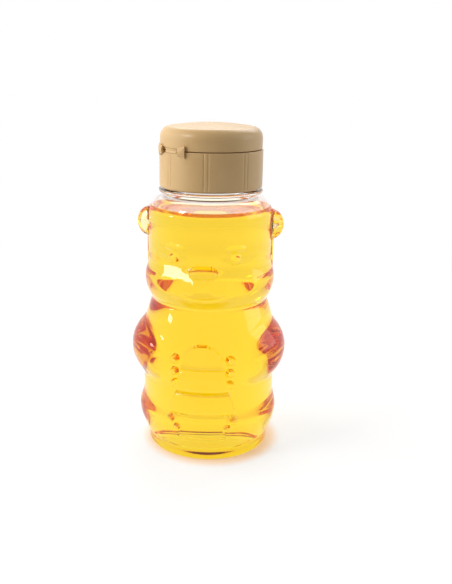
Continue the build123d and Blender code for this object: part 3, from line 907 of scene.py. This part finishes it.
def hingeWebSkins(u, v):
    # the web between lid and cap: (turn, height) on the cap's cylinder, u and v from -1 to 1,
    # thinner by waist exp(-(v / width)^2) along its middle, where it bends
    hinge = hingeSizes
    turns = hinge["turn"] + u * hinge["webHalfTurn"]
    heights = hinge["height"] + v * hinge["webHalfHeight"]
    waist = 1 - hinge["webWaist"] * np.exp(-((v / hinge["webWaistWidth"]) ** 2))
    return turns, heights, hinge["webInner"], hinge["webInner"] + hinge["webThickness"] * waist


def hingeStrapSkins(u, v, hand):
    # a strap beside the web, in the same way: its half height grows by share^flare, and its
    # thickness is 1 - taper v^power with bow (1 - v^2) (1 - fade (2 share - 1)^2) on top
    hinge = hingeSizes
    share = (u + 1) / 2 if hand > 0 else (1 - u) / 2
    first, last = hinge["strapTurns"]
    low, high = hinge["strapHalfHeights"]
    turns = hinge["turn"] + hand * (first + share * (last - first))
    heights = hinge["height"] + v * (low + share ** hinge["strapFlare"] * (high - low))
    bow = hinge["strapBow"] * (1 - v**2) * (1 - hinge["strapBowFade"] * (2 * share - 1) ** 2)
    taper = 1 - hinge["strapTaper"] * v ** hinge["strapTaperPower"]
    outerRadius = hinge["strapInner"] + hinge["strapThickness"] * taper + bow
    return turns, heights, hinge["strapInner"], outerRadius


def makeHinge():
    # web and straps are slabs, each made in place across the hinge's line
    hinge = hingeSizes
    lines = np.linspace(-1, 1, hinge["gridLines"])
    u, v = np.meshgrid(lines, lines)
    for name, node, skins in (
        ("hingeWeb", "hinge_web", hingeWebSkins(u, v)),
        ("hingeStrapLeft", "hinge_strap_left", hingeStrapSkins(u, v, -1)),
        ("hingeStrapRight", "hinge_strap_right", hingeStrapSkins(u, v, 1)),
    ):
        turns, heights, innerRadius, outerRadius = skins
        outer = turnedPoints(turns, outerRadius, heights)
        inner = turnedPoints(turns, innerRadius, heights)
        piece = slabMesh(name, outer, inner, capMaterial, hinge["sharp"])
        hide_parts(node)
        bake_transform(piece)
    print("hinge made")


makeCapBase()
makeLid()
makeHinge()
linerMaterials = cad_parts["liner_ring"].data.materials
linerMaterials.clear()
linerMaterials.append(foam())
print("liner dressed")

# in metres: the floor fades into white from nearRadius to farRadius, and near the bottle it
# glows by nearGlow to the eye, by throughGlow through clear things, and with a painted warm glow
# next to the base in place of light sent through the honey
studio = {
    "floorSize": 3.0, "floorDrop": 0.00005, "floorColour": 0.4, "floorLight": 0.25,
    "nearRadius": 0.12, "farRadius": 0.4, "nearGlow": 0.6, "throughGlow": 0.64, "white": 1.0,
    "paintedHoneyGlow": (1.0, 0.60, 0.28), "paintedHoneyGlowCentre": (0.0015, -0.001, 0.0),
    "paintedHoneyGlowStart": 0.0245, "paintedHoneyGlowEnd": 0.031,
    "worldLight": 0.5, "frontLight": 0.22, "frontStart": -0.8, "frontEnd": 0.1,
    "lampAim": 0.09, "unmirrored": ("key",), "unseenThrough": ("key", "top"),
    "clearBounces": 120, "mirrorBounces": 24,
}
# each lamp: turn round Z from the bear's front, distance and height in metres, size, power
lamps = {
    "key": (-88.0, 0.75, 0.40, (0.8, 0.7), 6.6),
    "fill": (95.0, 0.8, 0.35, (0.6, 0.6), 1.6),
    "top": (170.0, 0.50, 0.60, (0.7, 0.4), 3.0),
    "glint": (-55.0, 0.45, 0.42, (0.12, 0.1), 0.7),
    "window": (-69.5, 0.617, 0.147, (0.1, 0.05), 0.17),
}


def seenDirectly(tree):
    # 1 for rays from the camera, mirrored rays and rays through clear things, otherwise 0
    path = tree.nodes.new("ShaderNodeLightPath")
    total = path.outputs["Is Camera Ray"]
    for kind in ("Is Glossy Ray", "Is Transmission Ray"):
        node = tree.nodes.new("ShaderNodeMath")
        node.operation = "MAXIMUM"
        tree.links.new(total, node.inputs[0])
        tree.links.new(path.outputs[kind], node.inputs[1])
        total = node.outputs[0]
    return total


def between(tree, source, low, high, first, last):
    # low and high on the source become first and last, smoothly
    node = tree.nodes.new("ShaderNodeMapRange")
    node.interpolation_type = "SMOOTHSTEP"
    sockets = "From Min", "From Max", "To Min", "To Max"
    for socket, value in zip(sockets, (low, high, first, last)):
        if isinstance(value, float):
            node.inputs[socket].default_value = value
        else:
            tree.links.new(value, node.inputs[socket])
    tree.links.new(source, node.inputs["Value"])
    return node.outputs["Result"]


def distanceFrom(tree, place, centre):
    # how far each point of a surface is from a centre
    node = tree.nodes.new("ShaderNodeVectorMath")
    node.operation = "DISTANCE"
    node.inputs[1].default_value = centre
    tree.links.new(place, node.inputs[0])
    return node.outputs["Value"]


def makeFloor():
    # paper that is lit near the bottle and fades into plain white further off, with a painted
    # warm pool of light beside the base
    size, low = studio["floorSize"], -studio["floorDrop"]
    mesh = bpy.data.meshes.new("floor")
    mesh.from_pydata(
        [(-size, -size, low), (size, -size, low), (size, size, low), (-size, size, low)], [],
        [(0, 1, 2, 3)],
    )
    floor = bpy.data.objects.new("floor", mesh)
    bpy.context.collection.objects.link(floor)
    material, tree, shader = newMaterial("floorPaper")
    shader.inputs["Roughness"].default_value = 1.0
    shader.inputs["Specular IOR Level"].default_value = 0.0
    place = tree.nodes.new("ShaderNodeTexCoord").outputs["Object"]
    away = distanceFrom(tree, place, (0, 0, 0)), studio["nearRadius"], studio["farRadius"]
    paper = between(tree, *away, studio["floorColour"], 0.0)
    through = tree.nodes.new("ShaderNodeLightPath").outputs["Is Transmission Ray"]
    near = between(tree, through, 0.0, 1.0, studio["nearGlow"], studio["throughGlow"])
    seen = between(tree, *away, near, studio["white"])
    glow = between(tree, seenDirectly(tree), 0.0, 1.0, studio["floorLight"], seen)
    # painted light: a warm glow painted into the floor's emission round the base, standing in
    # for light passed through the honey
    fromBase = distanceFrom(tree, place, studio["paintedHoneyGlowCentre"])
    cool = between(tree, fromBase, studio["paintedHoneyGlowStart"], studio["paintedHoneyGlowEnd"], 0.0, 1.0)
    paintedGlowTint = ramp(tree, cool, (0.0, 1.0), (studio["paintedHoneyGlow"], studio["white"]))
    tree.links.new(paper, shader.inputs["Base Color"])
    tree.links.new(paintedGlowTint, shader.inputs["Emission Color"])
    tree.links.new(glow, shader.inputs["Emission Strength"])
    mesh.materials.append(material)


def makeWorld():
    # white to the eye, with less light from the front, where the camera stands
    world = bpy.data.worlds.new("studio")
    bpy.context.scene.world = world
    world.use_nodes = True
    tree = world.node_tree
    background = tree.nodes["Background"]
    background.inputs["Color"].default_value = (1, 1, 1, 1)
    place = tree.nodes.new("ShaderNodeTexCoord")
    parts = tree.nodes.new("ShaderNodeSeparateXYZ")
    tree.links.new(place.outputs["Generated"], parts.inputs["Vector"])
    lit = between(
        tree, parts.outputs["Y"], studio["frontStart"], studio["frontEnd"],
        studio["frontLight"], studio["worldLight"],
    )
    level = between(tree, seenDirectly(tree), 0.0, 1.0, lit, studio["white"])
    tree.links.new(level, background.inputs["Strength"])


def makeLamps():
    # soft boxes round the bottle, each tilted towards one height on its axis
    for name, (turn, distance, height, size, power) in lamps.items():
        lamp = bpy.data.lights.new(name, "AREA")
        lamp.shape = "RECTANGLE"
        lamp.size, lamp.size_y = size
        lamp.energy = power
        angle = math.radians(turn)
        piece = bpy.data.objects.new(name, lamp)
        piece.location = distance * math.sin(angle), -distance * math.cos(angle), height
        piece.rotation_euler = math.atan2(distance, height - studio["lampAim"]), 0, angle
        piece.visible_glossy = name not in studio["unmirrored"]
        piece.visible_transmission = name not in studio["unseenThrough"]
        bpy.context.collection.objects.link(piece)


cameraPlace = {
    "distance": 294.0, "height": 151.3, "turn": 5.2, "tilt": 16.57, "roll": 0.75,
    "focalPixels": 739.0, "axisPixel": 209.5, "imageWidth": 452, "imageHeight": 584,
    "sensorHeight": 36.0, "clipStart": 10.0,
}


def makeCamera():
    # the lens by its focal length in pixels, shifted to put the bottle's axis on its own column
    place = cameraPlace
    camera = bpy.data.cameras.new("camera")
    camera.sensor_fit = "VERTICAL"
    camera.sensor_height = place["sensorHeight"]
    camera.lens = place["focalPixels"] * camera.sensor_height / place["imageHeight"]
    camera.shift_x = (place["imageWidth"] / 2 - place["axisPixel"]) / place["imageHeight"]
    camera.clip_start = place["clipStart"] * mm
    piece = bpy.data.objects.new("camera", camera)
    angle, away = math.radians(place["turn"]), place["distance"] * mm
    piece.location = away * math.sin(angle), -away * math.cos(angle), place["height"] * mm
    level = Euler((math.radians(90 - place["tilt"]), 0, angle)).to_matrix()
    turned = level @ Matrix.Rotation(math.radians(place["roll"]), 3, "Z")
    piece.rotation_euler = turned.to_euler()
    bpy.context.collection.objects.link(piece)
    bpy.context.scene.camera = piece


makeFloor()
makeWorld()
makeLamps()
makeCamera()
bpy.context.scene.view_settings.view_transform = "Standard"
# clear walls and honey pass a ray on many times before it ends
lightPaths = bpy.context.scene.cycles
lightPaths.max_bounces = lightPaths.transmission_bounces = studio["clearBounces"]
lightPaths.transparent_max_bounces = studio["clearBounces"]
lightPaths.glossy_bounces = studio["mirrorBounces"]
print("studio made")
